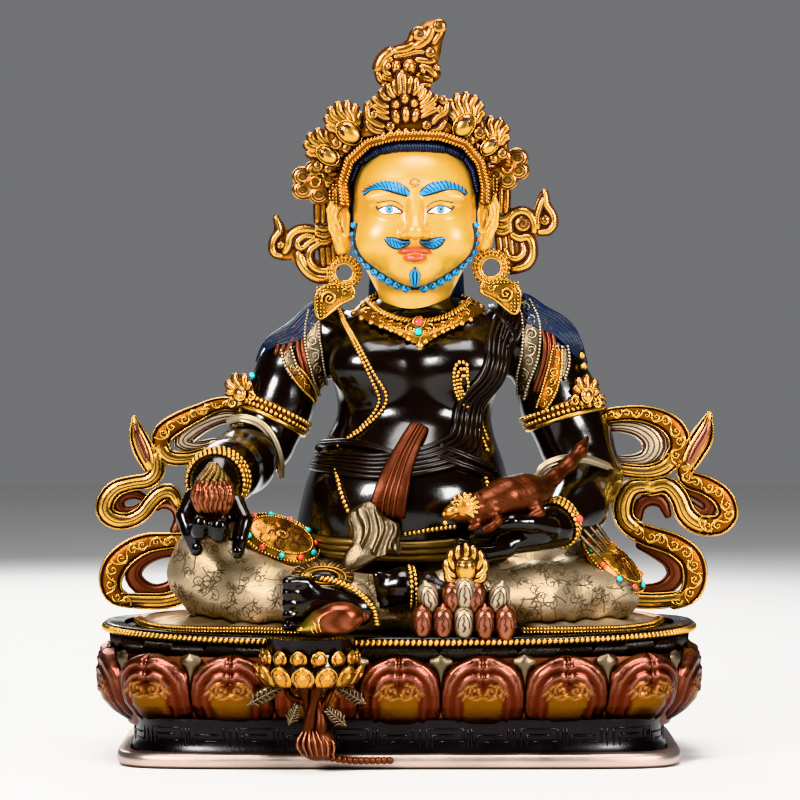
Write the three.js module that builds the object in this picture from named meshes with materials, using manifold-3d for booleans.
// A seated wealth deity in cast copper, gilded, silvered and dark patinated, on an oval lotus plinth.
// Lengths are millimetres. +X is to the right as seen from the front, -Y faces the viewer, +Z is up.
// The origin is the middle of the plinth's underside.
// "Left" and "right" are as seen from the front.
import * as THREE from "three";
import { mergeVertices } from "three/addons/utils/BufferGeometryUtils.js";
import Module from "manifold-3d";

const wasm = await Module();
wasm.setup();

// Driving dimensions
const GAP = 0.35; // clearance between pieces that rest on each other
const MARGIN = 0.7; // clearance left by a cut that follows a slanting surface
const FOOT_HALF_WIDTH = 122;
const FOOT_HALF_DEPTH = 80;
const FOOT_TOP = 6.5;
const BAND_TOP = 18.5;
const PETAL_TOP = 48;
const NECK_TOP = 53;
const SEAT = 57.2;
const SEAT_BOW = 2; // the rim rises this much toward its two ends
const PETALS = 20;
const HEAD_MIDDLE = 7; // the head stands this far to the right of the plinth's middle
const SCARF_DEPTH = 6; // how far the side scarves lie behind the plinth's middle
const STONE_RADIUS = 1.9;

// Colour, roughness and metalness of each finish
const FINISHES = {
  patina: [0x1b1614, 0.3, 0.85],
  gilding: [0xc08a34, 0.35, 0.95],
  copper: [0x8a4632, 0.38, 0.9],
  turquoise: [0x1f9ba0, 0.35, 0],
  coral: [0xd8402c, 0.35, 0],
};

const at = (x, y, z) => new THREE.Vector3(x, y, z);
const SIDEWAYS = at(1, 0, 0);
const FORWARD = at(0, -1, 0);
const UP = at(0, 0, 1);

// Turns a closed three.js geometry into a solid that can be joined and cut.
function solid(geometry) {
  const bare = new THREE.BufferGeometry();
  bare.setAttribute("position", geometry.getAttribute("position"));
  if (geometry.index) bare.setIndex(geometry.index);
  const merged = mergeVertices(bare, 1e-4);
  return new wasm.Manifold(
    new wasm.Mesh({
      numProp: 3,
      vertProperties: new Float32Array(merged.attributes.position.array),
      triVerts: new Uint32Array(merged.index.array),
    }),
  );
}

const join = (solids) => solids.reduce((whole, next) => whole.add(next));

// The largest connected shell: slivers and closed pockets are left out.
const largest = (body) => body.decompose().sort((a, b) => b.volume() - a.volume())[0];

// A closed body skinned over rings of equally many points, closed at each end on its ring's middle.
// The points run anticlockwise as seen against the way the rings advance.
function skin(rings) {
  const sides = rings[0].length;
  const points = rings.flat();
  const index = [];
  for (let i = 0; i < rings.length - 1; i++)
    for (let j = 0; j < sides; j++) {
      const a = i * sides + j;
      const b = i * sides + ((j + 1) % sides);
      index.push(a, b, b + sides, a, b + sides, a + sides);
    }
  const middle = (ring) => ring.reduce((sum, p) => sum.add(p), at(0, 0, 0)).divideScalar(sides);
  const first = points.push(middle(rings[0])) - 1;
  const last = points.push(middle(rings.at(-1))) - 1;
  const top = (rings.length - 1) * sides;
  for (let j = 0; j < sides; j++) {
    const k = (j + 1) % sides;
    index.push(first, k, j, last, top + j, top + k);
  }
  const geometry = new THREE.BufferGeometry().setFromPoints(points);
  return solid(geometry.setIndex(index));
}

// A body swept along a smooth line. Each station is [x, y, z, half width, half depth].
// The depth is measured along the given axis. The section is an oval, or a flat strip with square edges.
// A blunt end is flat, any other is rounded off.
function sweep(stations, { sides = 8, steps = 6, depth = FORWARD, strip = false, blunt = strip, grow = 0 } = {}) {
  const smooth = (list) => new THREE.CatmullRomCurve3(list, false, "catmullrom", 0.5);
  const line = smooth(stations.map(([x, y, z]) => at(x, y, z)));
  const size = smooth(stations.map(([, , , a, b = a]) => at(a + grow, b + grow, 0)));
  const section = strip
    ? [[1, 1], [-1, 1], [-1, -1], [1, -1]]
    : Array.from({ length: sides }, (_, j) => [Math.cos((2 * Math.PI * j) / sides), Math.sin((2 * Math.PI * j) / sides)]);
  const ring = (t, share, along) => {
    const tangent = line.getTangent(t);
    const out = depth.clone().addScaledVector(tangent, -depth.dot(tangent)).normalize();
    const across = out.clone().cross(tangent);
    const { x: a, y: b } = size.getPoint(t);
    const middle = line.getPoint(t).addScaledVector(tangent, along * Math.min(a, b));
    return section.map(([u, w]) =>
      middle.clone().addScaledVector(across, a * share * u).addScaledVector(out, b * share * w),
    );
  };
  const rings = Array.from({ length: steps + 1 }, (_, i) => ring(i / steps, 1, 0));
  if (!blunt) {
    rings.unshift(ring(0, 0.55, -0.75));
    rings.push(ring(1, 0.55, 0.75));
  }
  return skin(rings);
}

// An ellipsoid, tilted in degrees about the Y axis.
function egg([x, y, z], [rx, ry, rz], { around = 8, rows = 5, tilt = 0, grow = 0 } = {}) {
  const ball = new THREE.SphereGeometry(1, around, rows).rotateX(Math.PI / 2);
  ball.scale(rx + grow, ry + grow, rz + grow).rotateY(THREE.MathUtils.degToRad(tilt));
  return solid(ball.translate(x, y, z));
}

// A ring about an axis through its middle, ridged along its outer side.
function hoop([x, y, z], axis, radius, thickness, width, grow = 0) {
  const inner = radius - thickness - grow;
  const outer = radius + thickness + grow;
  const section = [[inner, -width - grow], [outer, 0], [inner, width + grow], [inner, -width - grow]];
  const ring = new THREE.LatheGeometry(section.map(([r, h]) => new THREE.Vector2(r, h)), 8);
  const turn = new THREE.Quaternion().setFromUnitVectors(at(0, 1, 0), axis.clone().normalize());
  return solid(ring.applyQuaternion(turn).translate(x, y, z));
}

// A flat plate in the upright X-Z plane, cut from an outline and given its thickness along Y.
function plate(outline, front, thickness) {
  const shape = new THREE.Shape(outline.map(([x, z]) => new THREE.Vector2(x, z)));
  const slab = new THREE.ExtrudeGeometry(shape, { depth: thickness, bevelEnabled: false });
  return solid(slab.rotateX(Math.PI / 2).translate(0, front + thickness, 0));
}

// A squared oval in plan: a squareness of 2 is an ellipse, and a larger one is nearer a rectangle.
class Oval extends THREE.Curve {
  constructor(halfWidth, halfDepth, squareness) {
    super();
    Object.assign(this, { halfWidth, halfDepth, squareness });
  }
  getPoint(t) {
    const part = (value) => Math.sign(value) * Math.abs(value) ** (2 / this.squareness);
    const turn = 2 * Math.PI * t;
    return at(this.halfWidth * part(Math.cos(turn)), this.halfDepth * part(Math.sin(turn)), 0);
  }
}

// Oval tiers stacked from the bottom up.
// Each is [height, half width, half depth, squareness, middle to the right, middle to the back, bow],
// the bow being the rise at the tier's two ends.
function tiers(levels, sides, grow = 0) {
  return skin(
    levels.map(([z, width, depth, squareness, right = 0, back = 0, bow = 0]) => {
      const oval = new Oval(width + grow, depth + grow, squareness);
      return Array.from({ length: sides }, (_, j) => {
        const p = oval.getPoint((j + 0.5) / sides);
        return at(right + p.x, back + p.y, z + bow * (p.x / width) ** 4);
      });
    }),
  );
}

// The ring of lotus petals: one skin that swells at each petal, with a round boss low on it.
function petalRing() {
  const LOBE = [0, 0.85, 1, 0.85]; // swell over one petal, the first in the valley beside it
  const BOSS = [0, 0, 1, 0];
  // [height, how far the valley stands out from the ring, the lobe's swell, the boss's swell]
  const LEVELS = [
    [BAND_TOP, -8, 2, 1],
    [24, -5.5, 7, 3.5],
    [33, -2.2, 9, 3],
    [PETAL_TOP - 4, 0, 9, -1.5],
    [PETAL_TOP, 0.5, 3, -1],
  ];
  const ring = new Oval(127, 79, 3.8);
  const sides = PETALS * LOBE.length;
  const rings = LEVELS.map(([z, valley, lobe, boss]) =>
    Array.from({ length: sides }, (_, j) => {
      const share = (j / sides + 0.5 / PETALS) % 1;
      const out = ring.getTangentAt(share).cross(UP);
      const reach = valley + lobe * LOBE[j % LOBE.length] + boss * BOSS[j % LOBE.length];
      return ring.getPointAt(share).addScaledVector(out, reach).setZ(z);
    }),
  );
  return skin(rings);
}

function plinth() {
  const foot = tiers(
    [
      [0, FOOT_HALF_WIDTH, FOOT_HALF_DEPTH, 8],
      [FOOT_TOP - 0.5, FOOT_HALF_WIDTH, FOOT_HALF_DEPTH, 8],
      [FOOT_TOP, 118.5, 76.5, 7],
      [BAND_TOP + 2, 117.5, 75.5, 5],
    ],
    24,
  );
  const seat = tiers(
    [
      [PETAL_TOP - 2, 128, 79, 2.8],
      [NECK_TOP - 0.5, 129, 80, 2.5, 0, 0, SEAT_BOW],
      [NECK_TOP, 133, 84, 2.3, 0, 0, SEAT_BOW],
      [SEAT, 133, 85, 2.3, 0, 0, SEAT_BOW],
      [SEAT, 128, 80, 2.3],
    ],
    24,
  );
  return join([foot, petalRing(), seat]);
}

// The small lotus that stands out from the plinth's front, under the pendant foot, on its leafy stem.
function footLotus() {
  const X = -38.5;
  const Y = -86;
  const LOBES = 9;
  const scallop = (z, radius, swell) =>
    Array.from({ length: 2 * LOBES }, (_, j) => {
      const turn = (Math.PI * j) / LOBES;
      const r = radius + (j % 2 ? swell : -swell);
      return at(X + r * Math.cos(turn), Y + r * Math.sin(turn), z);
    });
  const cup = skin([scallop(36.5, 14, 0.5), scallop(40, 24, 1.2), scallop(46, 24, 1.2), scallop(51.5, 18.5, 0.5)]);
  const neck = tiers([[50, 18, 19, 2, X, Y], [SEAT, 18.5, 20, 2, X, Y]], 12);
  const STEM = { sides: 4, steps: 2, blunt: true };
  const stems = [
    sweep([[-38.5, -92, 39, 4], [-38, -92, 28, 4], [-36, -91, 14, 4]], STEM),
    sweep([[-48, -88, 39, 3], [-45, -90, 29, 3], [-37, -90, 17, 3]], STEM),
    sweep([[-29, -88, 39, 3], [-32, -90, 28, 3], [-37, -90, 15, 3]], STEM),
  ];
  const leaves = [
    [-60, -92, 32, 20],
    [-22, -92, 31, -20],
    [-47, -93, 24, -35],
    [-24, -92, 23, -15],
  ].map(([x, y, z, tilt]) => egg([x, y, z], [9.5, 3.5, 4], { around: 5, rows: 3, tilt }));
  const bud = egg([-35, -91, 12], [7.5, 6.5, 9.5], { around: 6, rows: 3, tilt: -20 });
  const tendril = sweep([[-36, -88, 7, 4, 4], [-22, -86, 4.3, 3.6, 4], [-3, -83, 4.2, 3.6, 4]], { sides: 5, steps: 3 });
  return join([cup, neck, ...stems, ...leaves, bud, tendril]);
}

// The trunk, neck, head and topknot in one, or the same shape grown outward by a clearance.
function trunk(grow = 0) {
  // [height, half width, half depth, squareness, middle to the right, middle to the back]
  const BODY = [
    [70, 50, 40, 2.1, 3, 0],
    [95, 50.5, 45.5, 2.1, 3, -3],
    [118, 47, 46, 2, 3.5, -3],
    [131, 43, 41, 2, 4.5, -2],
    [143, 38, 34.5, 2, 5.5, 0],
    [153, 35.5, 30, 2.1, 7, 1],
    [167, 39, 28.5, 2.3, 8.5, 2],
    [183, 46, 25.5, 2.4, 10.5, 3],
    [192, 44, 21, 2.3, 10.5, 4],
    [203, 22, 17, 2, 8.5, 3],
  ];
  const HEAD = [
    [209, 19.5, 17, 2, 1],
    [215, 19.5, 19, 2, -3],
    [220, 24, 25, 2.1, -5],
    [230, 28.5, 29.5, 2.1, -5],
    [246, 29.5, 30, 2, -4],
    [259, 28.5, 28.5, 2, -3],
    [269, 23, 23, 2, -2],
    [277, 14, 14, 2, 1],
    [286, 12, 12, 2, 3],
    [291, 6, 6, 2, 3],
  ].map(([z, width, depth, squareness, back]) => [z, width, depth, squareness, HEAD_MIDDLE, back]);
  return tiers([...BODY, ...HEAD], 12, grow);
}

// The long ears, their heavy hoops and leaf-shaped pendants. The side is -1 on the left and 1 on the right.
function ears(grow = 0) {
  const PENDANT = [[-3, -5], [7.5, -5.5], [12.5, -10], [12.5, -17], [10, -20], [1.5, -14], [-4.5, -10.5]];
  const EARS = [
    [-25.5, 216, -1],
    [40.5, 217, 1],
  ];
  return EARS.flatMap(([x, z, side]) => {
    const drop = PENDANT.map(([out, up]) => [x + side * out, z + up]);
    return [
      egg([x - side * 0.5, -8, z + 21.5], [6, 6, 17.5], { around: 6, rows: 5, grow }),
      hoop([x, -10, z], FORWARD, 6, 1.9, 2, grow),
      plate(drop, -12, 4),
    ];
  });
}

function hair() {
  return [
    egg([9, 17, 184], [69.5, 10, 21], { around: 10, rows: 5 }),
    egg([8, 15, 205], [28, 14, 64], { around: 8, rows: 6 }),
  ];
}

// The arms, or the same shapes grown outward by a clearance.
function arms(grow = 0) {
  const UPPER = { sides: 8, steps: 3, depth: FORWARD, grow };
  const LOWER = { sides: 8, steps: 3, depth: UP, blunt: true, grow };
  return [
    sweep([[-33, 6, 190, 13], [-46, 8, 175, 14.5], [-57, 8, 156, 14], [-63, 4, 140, 14.5]], UPPER),
    sweep([[-63, 6, 140, 13], [-70, -15, 131, 14.5], [-76, -33, 126, 11.5], [-81, -48, 121.5, 8.5]], LOWER),
    sweep([[53, 6, 194, 13], [67, 7, 181, 15], [75.5, 8, 157, 15], [81, 5, 138, 15]], UPPER),
    sweep([[80, 12, 139, 14], [85, -2, 124, 15], [80, -26, 111, 12.5], [66, -52, 103, 9]], { ...LOWER, steps: 5 }),
  ];
}

// The hand over the knee, palm to the front, with two fingers curled under the fruit.
function hangingHand(grow = 0) {
  const FINGER = { sides: 4, steps: 2, depth: SIDEWAYS, grow };
  const PALM = { sides: 6, steps: 3, depth: at(0, -0.4, 1), grow };
  return [
    sweep([[-81, -46, 122, 9, 7], [-81, -58, 114, 13, 5.5], [-80, -64, 105, 12, 5]], PALM),
    sweep([[-91, -58, 118, 4.2], [-94, -65, 109, 4], [-91, -69, 101, 3.8], [-88, -71, 94, 3.6]], FINGER),
    sweep([[-85, -65, 106, 4.6], [-84, -70, 101, 4.6], [-84, -76, 104, 4]], FINGER),
    sweep([[-76, -65, 106, 4.6], [-75, -70, 101, 4.6], [-75, -76, 104, 4]], FINGER),
    sweep([[-71, -59, 116, 3.8], [-68, -65, 107, 3.6], [-69, -68, 98, 3.2]], FINGER),
  ];
}

// The hand that lies open in the lap under the mongoose.
function openHand(grow = 0) {
  const FINGER = { sides: 4, steps: 2, grow };
  return [
    sweep([[68, -51, 103, 9, 9], [57, -58, 99, 8.5, 10], [45, -60, 96, 7, 11]], { sides: 6, steps: 3, grow }),
    ...[-53, -60, -66].map((y, i) => {
      const z = 94 - i;
      return sweep([[47, y, z + 1.5, 4], [36, y - 1, z - 1, 3.7], [26, y, z, 3.2]], FINGER);
    }),
    sweep([[66, -60, 104, 4], [56, -68, 106, 3.8], [45, -71, 106, 3.2]], FINGER),
  ];
}

function legs(grow = 0) {
  const LIMB = { sides: 8, steps: 3, depth: UP, grow };
  return [
    sweep([[-24, -8, 74, 21], [-46, -17, 80, 22], [-66, -23, 85.5, 21], [-84, -29, 87, 17]], LIMB),
    sweep([[-82, -29, 81, 18.5], [-58, -49, 73.5, 15, 14.5], [-37, -67, 73, 12], [-24, -73, 72, 9.5]], LIMB),
    sweep([[34, 4, 80, 20.5], [58, -4, 78, 19], [77, -14, 77.5, 18], [89, -20, 76, 16]], LIMB),
    sweep([[91, -24, 74, 15], [60, -48, 73, 14], [36, -56, 73, 11.5], [16, -58, 75, 9]], LIMB),
    sweep([[18, -58, 75, 8.5], [5, -61, 79, 9], [-8, -61, 77, 7]], { ...LIMB, sides: 6, steps: 3 }),
  ];
}

// The foot that stands on the small lotus, its toes pointing left and stacked one above the other.
function pendantFoot() {
  const TOES = 5;
  const toes = Array.from({ length: TOES }, (_, i) => {
    const z = 80 - 4.8 * i;
    const thick = 3.5 - 0.25 * i;
    return sweep([[-40, -89, z, thick], [-49.5 + 0.6 * i, -90, z, thick]], { sides: 4, steps: 1 });
  });
  const sole = [[-13, -75, 70, 8, 7], [-23, -82, 72.5, 9.5, 7], [-34, -87, 73, 11, 6], [-44, -89, 71.5, 11, 5]];
  return [sweep(sole, { sides: 8, steps: 4 }), ...toes];
}

// The skirts that spread over the seat, or the same shape grown outward by a clearance.
function skirts(grow = 0) {
  const HEM = [
    [SEAT + GAP - grow, 125, 67, 2.4],
    [62 + grow, 126, 68, 2.4],
    [67 + grow, 108, 58, 2.3],
    [74 + grow, 70, 40, 2.1],
  ];
  return tiers(HEM, 20, grow);
}

// The sash over the chest and round the waist, and the one that hangs in the lap.
function sashes() {
  const shoulder = [
    [52, -4, 204, 6, 3],
    [51, -16, 192, 7, 3],
    [46, -24, 172, 7, 3],
    [40, -29, 153, 7, 3],
    [27, -39, 138, 7, 3],
    [6, -45, 130, 7, 3],
    [-20, -41, 131, 6, 3],
    [-37, -20, 134, 5, 3],
  ];
  const hanging = [
    [8, -42, 143, 4.5, 3],
    [-1, -48, 127, 6, 3],
    [-7, -52, 111, 8, 3],
    [-10, -57, 99, 11, 3],
    [-12, -61, 86, 14, 3],
  ];
  return [sweep(shoulder, { strip: true, steps: 10 }), sweep(hanging, { strip: true, steps: 5 })];
}

// Raised trim cast with the figure: collar, armlets, bracelets, the scarf's edge over the left forearm
// and the patches on the knees.
function jewellery(grow = 0) {
  const collar = [
    [-17, -13, 207, 3.5, 3],
    [-8, -20, 196, 4.5, 3],
    [9.5, -25, 189, 6, 3],
    [28, -20, 197, 4.5, 3],
    [35, -11, 209, 3.5, 3],
  ];
  const CREST = { around: 6, rows: 4, grow };
  return [
    sweep(collar, { strip: true, steps: 6, grow }),
    egg([9.5, -25, 185], [9, 4, 8], { ...CREST, around: 8 }),
    hoop([-58, 8, 152], at(-0.4, -0.15, -0.9), 14, 2, 3.5, grow),
    egg([-69, -2, 160], [5, 5, 8], { ...CREST, tilt: -25 }),
    hoop([76, 8, 155], at(0.25, -0.1, -0.95), 15, 2, 3.5, grow),
    egg([85, -4, 160], [7, 6, 9], { ...CREST, tilt: 20 }),
    hoop([-66, -5, 136], at(0.3, 0.85, 0.45), 14.5, 2, 3.5, grow),
    hoop([-80, -45, 122.5], at(-0.35, -0.9, -0.3), 9.5, 2, 3, grow),
    hoop([71, -46, 105], at(-0.6, -0.8, -0.25), 10.5, 2, 3, grow),
    kneePatch(KNEE_LEFT, grow),
    kneePatch(KNEE_RIGHT, grow),
  ];
}

// The domed patches embroidered over the knees: the middle of each, which way it faces and runs,
// its half length, half width and rise, and how many stones ring it.
const KNEE_LEFT = {
  name: "left",
  middle: at(-53, -37, 97),
  facing: at(0.3, -0.7, 0.65),
  along: at(-0.97, 0, 0.24),
  size: [19, 12.5, 7.5],
  stones: 11,
};
const KNEE_RIGHT = {
  name: "right",
  middle: at(93.5, -26, 84),
  facing: at(0.62, -0.42, 0.66),
  along: at(0.7, 0.1, -0.7),
  size: [18, 13, 8],
  stones: 10,
};

// The turn that lays a patch's rise along its facing and its length along its run.
function lie({ facing, along }) {
  const up = facing.clone().normalize();
  const side = along.clone().cross(up).normalize();
  return new THREE.Matrix4().makeBasis(up.clone().cross(side), up, side);
}

function kneePatch(patch, grow = 0) {
  const [halfLength, halfWidth, rise] = patch.size;
  const dome = new THREE.SphereGeometry(1, 9, 4).scale(halfLength + grow, rise + grow, halfWidth + grow);
  return solid(dome.applyMatrix4(lie(patch).setPosition(patch.middle)));
}

// The round stones set in a ring on a knee patch, turquoise and coral in turn.
function kneeStones(patch) {
  const RING = 0.86; // the ring's share of the patch's half length and half width
  const [halfLength, halfWidth, rise] = patch.size;
  const placed = lie(patch).setPosition(patch.middle);
  return Array.from({ length: patch.stones }, (_, i) => {
    const angle = (2 * Math.PI * i) / patch.stones;
    const height = rise * Math.sqrt(1 - RING ** 2);
    const base = at(RING * halfLength * Math.cos(angle), height, RING * halfWidth * Math.sin(angle));
    const normal = at(base.x / halfLength ** 2, base.y / rise ** 2, base.z / halfWidth ** 2).normalize();
    const turn = new THREE.Matrix4().makeRotationFromQuaternion(
      new THREE.Quaternion().setFromUnitVectors(at(0, 1, 0), normal),
    );
    const finish = i % 2 ? "coral" : "turquoise";
    const place = turn.setPosition(base.addScaledVector(normal, GAP)).premultiply(placed);
    return piece(`${finish}_stone_${patch.name}_knee_${i + 1}`, cabochon().transform(place.elements), finish);
  });
}

// A low round cabochon with a flat back, its back at the origin and its dome up the Y axis.
function cabochon() {
  const dome = [[0, 0], [STONE_RADIUS, 0], [STONE_RADIUS * 0.75, STONE_RADIUS * 0.6], [0, STONE_RADIUS * 0.9]];
  return solid(new THREE.LatheGeometry(dome.map(([r, h]) => new THREE.Vector2(r, h)), 5));
}

// The outline of a crown leaf: a fan of scalloped flame tips about the leaf's foot, leaning to one side.
function crownLeaf([x, z], halfWidth, height, lean, tips) {
  const NOTCH = 0.16;
  const turnBy = THREE.MathUtils.degToRad(lean);
  const outline = [[-0.5, 0], [0.5, 0]];
  for (let i = 0; i <= 2 * tips; i++) {
    const turn = (Math.PI * i) / (2 * tips);
    const reach = i % 2 ? 1 : 1 - NOTCH;
    outline.push([Math.cos(turn) * reach, 0.3 + 0.7 * Math.sin(turn) * reach]);
  }
  return outline.map(([u, w]) => [
    x + u * halfWidth * Math.cos(turnBy) + w * height * Math.sin(turnBy),
    z - u * halfWidth * Math.sin(turnBy) + w * height * Math.cos(turnBy),
  ]);
}

// The crown stands on the hairline and curves back round the head.
function crown() {
  const BEND = 0.0045; // set back per square millimetre from the middle
  const FRONT = -26;
  const bent = (x) => FRONT + BEND * (x - HEAD_MIDDLE) ** 2;
  const band = [[-26, 249], [-25, 262], [-17, 274], [6, 279], [29, 274], [37, 263], [38.5, 251]];
  // Each leaf: its foot, half width, height, lean in degrees, flame tips, and its boss's radii
  const LEAVES = [
    [[3, 276], 19.5, 25, 0, 6, 6, 8],
    [[-16, 268], 10, 24, -20, 4, 4.8, 6],
    [[-23, 258], 8, 21, -42, 3, 4, 5],
    [[26, 270], 10, 25, 12, 4, 4.5, 6],
    [[34, 261], 8, 22, 35, 3, 3.8, 5],
  ];
  const leaves = LEAVES.map(([foot, w, h, lean, tips]) => plate(crownLeaf(foot, w, h, lean, tips), bent(foot[0]) + 1, 6));
  const bosses = LEAVES.map(([[x, z], , height, lean, , rx, rz]) => {
    const turnBy = THREE.MathUtils.degToRad(lean);
    const up = 0.45 * height;
    return egg([x + up * Math.sin(turnBy), bent(x) + 1, z + up * Math.cos(turnBy)], [rx, 4, rz], { around: 6, rows: 3 });
  });
  const parts = [
    sweep(band.map(([x, z]) => [x, bent(x) + 7, z, 2.6, 7]), { strip: true, steps: 8 }),
    ...leaves,
    ...bosses,
    egg([-36.5, -10, 255.8], [9.5, 6, 8], { around: 7, rows: 4 }),
    egg([47, -10, 261.8], [7.5, 6, 8.5], { around: 7, rows: 4 }),
    ...finial(),
    ...ribbons(),
  ];
  return largest(join(parts).subtract(join([trunk(MARGIN), ...ears(MARGIN)])));
}

// The plume above the middle leaf, leaning right, with a pair of jewels in its hollow.
function finial() {
  const PLUME = [
    [-8, 295],
    [-12, 304],
    [-10, 311],
    [-3, 316],
    [5, 320],
    [8, 325.5],
    [13, 328.5],
    [18, 329.5],
    [22, 325.5],
    [19, 318],
    [17, 311],
    [15.5, 306.5],
    [19, 302],
    [14, 298],
    [14, 293],
  ];
  return [plate(PLUME, -21, 7), egg([2.5, -21, 305], [5.5, 4.5, 5.5], { around: 6, rows: 4 })];
}

// The crown's ties: a strip beside each ear, and the scarf ends that curl out from it.
function ribbons() {
  const strip = (points, steps) =>
    sweep(
      points.map(([x, z, half]) => [x, -3, z, half, 2.6]),
      { strip: true, steps },
    );
  return [
    strip([[-33, 253, 5], [-33, 240, 4.5], [-31.5, 230, 4.5], [-29, 219, 4]], 3),
    strip([[-31, 234, 4], [-41, 232, 6], [-50, 229, 7], [-57, 229, 4], [-57, 234, 3], [-55, 241, 1]], 7),
    strip([[-50, 224, 5], [-42, 220.5, 4.5], [-30, 216, 3.5]], 3),
    strip([[45, 257, 5], [45, 243, 4.5], [44, 232, 4.5], [42, 221, 4]], 3),
    strip([[46, 243, 4], [54, 243.5, 4], [60, 237, 4], [66, 231.5, 4.5], [69, 239, 4], [65, 253, 1]], 9),
    strip([[46, 231, 3.5], [56, 230, 4.5], [60, 222, 5], [55, 213, 4.5], [46, 211, 3.5]], 6),
  ];
}

// A flat scarf lying in an upright plane, as a run of [x, z, half width] stations.
function scarfRun(points, steps) {
  return sweep(
    points.map(([x, z, half]) => [x, SCARF_DEPTH, z, half, 2.8]),
    { strip: true, steps },
  );
}

// Each scarf loops over its forearm, throws out a pointed end, folds back on itself and loops down to the seat.
function scarfLeft() {
  return join([
    scarfRun([[-66, 154, 4], [-80, 154, 4.5], [-93, 149, 6], [-103, 142, 7.8], [-102, 134.5, 5], [-90, 132.5, 3]], 9),
    scarfRun([[-110, 128, 3.5], [-116.5, 136, 3.2], [-119, 143, 3], [-120, 149.5, 1]], 3),
    scarfRun([[-110, 136, 4], [-112, 126.5, 3.8], [-124, 120, 3.8], [-133, 113, 4.2], [-132, 105.5, 4]], 6),
    scarfRun([[-132, 106, 4], [-120, 103.5, 3.8], [-109, 114, 3.6], [-99, 115.5, 3.4], [-98, 107, 3], [-101, 97, 3.6]], 7),
    scarfRun([[-94, 95, 4.5], [-108, 91.5, 5.3], [-120, 88, 6.5], [-127, 79, 7.7], [-123, 69, 6.5]], 6),
    scarfRun([[-125, 70, 6], [-114, 66.5, 5], [-104, 69.5, 4.8], [-97, 76, 4.5], [-92, 86, 3.6]], 4),
  ]);
}

function scarfRight() {
  return join([
    scarfRun([[84, 148, 3.5], [96, 149.5, 5.5], [109, 147.5, 8], [120, 139, 10.5], [114, 130.5, 7], [98, 127.5, 3.5]], 8),
    scarfRun([[124, 129, 4.5], [134, 133.5, 4.2], [139.5, 141.5, 4.5], [140.5, 150.5, 1]], 3),
    scarfRun([[125, 130, 4.5], [132.5, 124, 4.8], [146, 115.5, 5.2], [148, 107, 5], [139, 101.5, 5]], 6),
    scarfRun([[140, 102, 5], [129.5, 108, 5.2], [123, 118, 4.8], [111, 118, 4.3], [106, 110, 5], [105, 102, 5]], 7),
    scarfRun([[104, 106, 4.8], [109, 96.5, 5], [120, 93, 5.5], [131, 83, 6.8], [128, 71.5, 6]], 6),
    scarfRun([[130, 72.5, 5.5], [121, 68, 5], [111, 70, 3.5], [102, 73, 3]], 3),
  ]);
}

function mongoose() {
  const back = [[33, -67, 113, 6], [41, -65, 115, 9], [51, -62, 117.5, 10.5], [60, -56, 119, 9.5], [66, -49, 122, 6]];
  const parts = [
    sweep(back, { sides: 7, steps: 4 }),
    sweep([[63, -50, 123, 5], [73, -41, 130, 4.2], [80, -31, 137, 3.6], [84, -24, 142, 2.4]], { sides: 5, steps: 3 }),
    sweep([[36, -68, 113, 6.5], [30, -71, 112, 6.2], [23, -74, 110, 3.6]], { sides: 6, steps: 2 }),
    sweep([[39, -73, 110, 3.4], [34, -78, 104, 2.8]], { sides: 4, steps: 1 }),
    sweep([[58, -63, 116, 5.5], [64, -66, 112, 3.6]], { sides: 5, steps: 1 }),
  ];
  return largest(join(parts).subtract(join([...openHand(MARGIN), ...arms(MARGIN).slice(2), ...jewellery(MARGIN)])));
}

function fruit() {
  const PROFILE = [[0, -13.5], [5, -12], [9, -6], [9.8, 0], [7, 8], [1.8, 13.5], [0, 14]];
  const body = new THREE.LatheGeometry(PROFILE.map(([r, z]) => new THREE.Vector2(r, z)), 10);
  const whole = solid(body.rotateX(Math.PI / 2).translate(-80.7, -74, 122.5));
  return largest(whole.subtract(join(hangingHand(MARGIN))));
}

function conch() {
  const shell = [[-19.5, -97, 67, 4.5], [-24, -98, 66.5, 7], [-31, -98, 65, 6.8], [-40.5, -98, 62, 2.6]];
  return sweep(shell, { sides: 8, steps: 4 });
}

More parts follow.
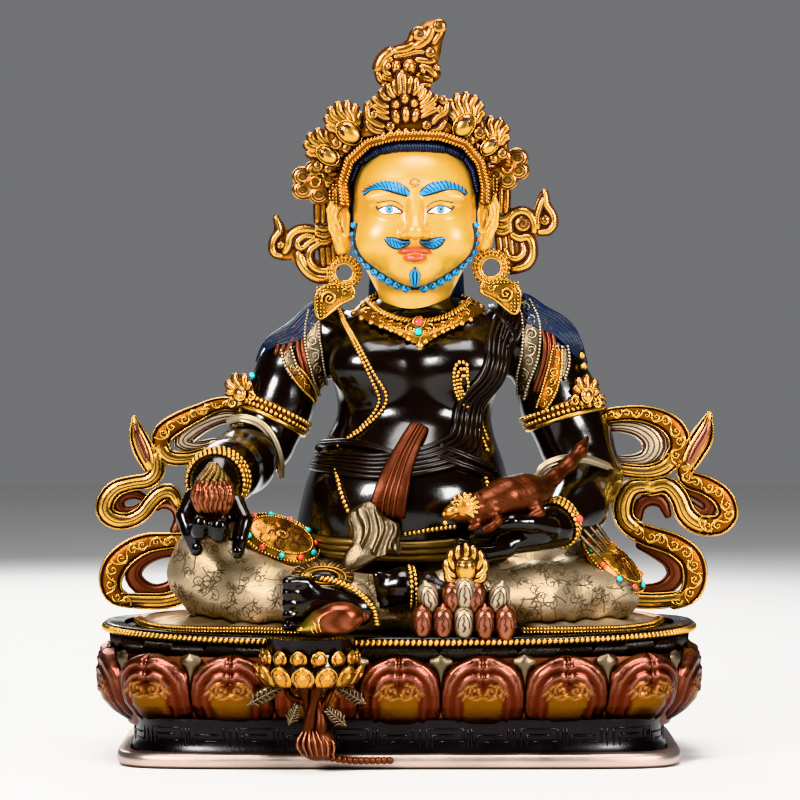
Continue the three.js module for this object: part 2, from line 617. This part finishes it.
// Bullet-shaped jewels in a row of five and a row of four, one between them and a flaming one on top.
function jewels() {
  const X = 28;
  const bullet = (x, y, z, tilt) => egg([x, y, z], [4.3, 4, 6.6], { around: 5, rows: 3, tilt });
  const row = (count, pitch, y, z, fan) =>
    Array.from({ length: count }, (_, i) => {
      const place = i - (count - 1) / 2;
      return bullet(X + pitch * place, y, z, fan * place);
    });
  const Y = -76;
  const bed = [[SEAT + GAP, 21, 5, 2.4, X, Y], [72, 16, 4, 2.2, X, Y], [84, 5, 3, 2, X, Y]];
  return join([
    tiers(bed, 8),
    ...row(5, 9, Y - 3, 64.8, 0),
    ...row(4, 9.8, Y - 1, 74, -5),
    bullet(X, Y, 78, 0),
    egg([X + 1, Y + 1, 87], [7.2, 4.5, 8], { around: 8, rows: 4 }),
  ]);
}

// A named mesh of a finished solid.
function piece(name, body, finish) {
  const { vertProperties, triVerts } = body.getMesh();
  const geometry = new THREE.BufferGeometry();
  geometry.setAttribute("position", new THREE.BufferAttribute(vertProperties, 3));
  geometry.setIndex(new THREE.BufferAttribute(triVerts, 1));
  geometry.computeVertexNormals();
  const [color, roughness, metalness] = FINISHES[finish];
  const mesh = new THREE.Mesh(geometry, new THREE.MeshStandardMaterial({ color, roughness, metalness }));
  mesh.name = name;
  return mesh;
}

function figure() {
  return largest(
    join([
      trunk(),
      egg([HEAD_MIDDLE, -33, 240], [4, 4, 7], { around: 5, rows: 3 }),
      ...ears(),
      ...hair(),
      ...arms(),
      ...hangingHand(),
      ...openHand(),
      ...legs(),
      ...pendantFoot(),
      skirts(),
      ...sashes(),
      ...jewellery(),
    ]).trimByPlane([0, 0, 1], SEAT + GAP),
  );
}

const clearance = join([...arms(MARGIN), ...legs(MARGIN), ...jewellery(MARGIN), skirts(MARGIN)]);
const statue = new THREE.Group();
statue.name = "jambhala_statue";
statue.add(
  piece("lotus_plinth", largest(plinth().add(footLotus())), "patina"),
  piece("seated_figure", figure(), "patina"),
  piece("crown", crown(), "gilding"),
  piece("scarf_left", largest(scarfLeft().subtract(clearance)), "gilding"),
  piece("scarf_right", largest(scarfRight().subtract(clearance)), "gilding"),
  piece("mongoose", mongoose(), "copper"),
  piece("citron", fruit(), "copper"),
  piece("conch", conch(), "copper"),
  piece("jewel_pile", largest(jewels()), "copper"),
  ...kneeStones(KNEE_LEFT),
  ...kneeStones(KNEE_RIGHT),
);

export default statue;
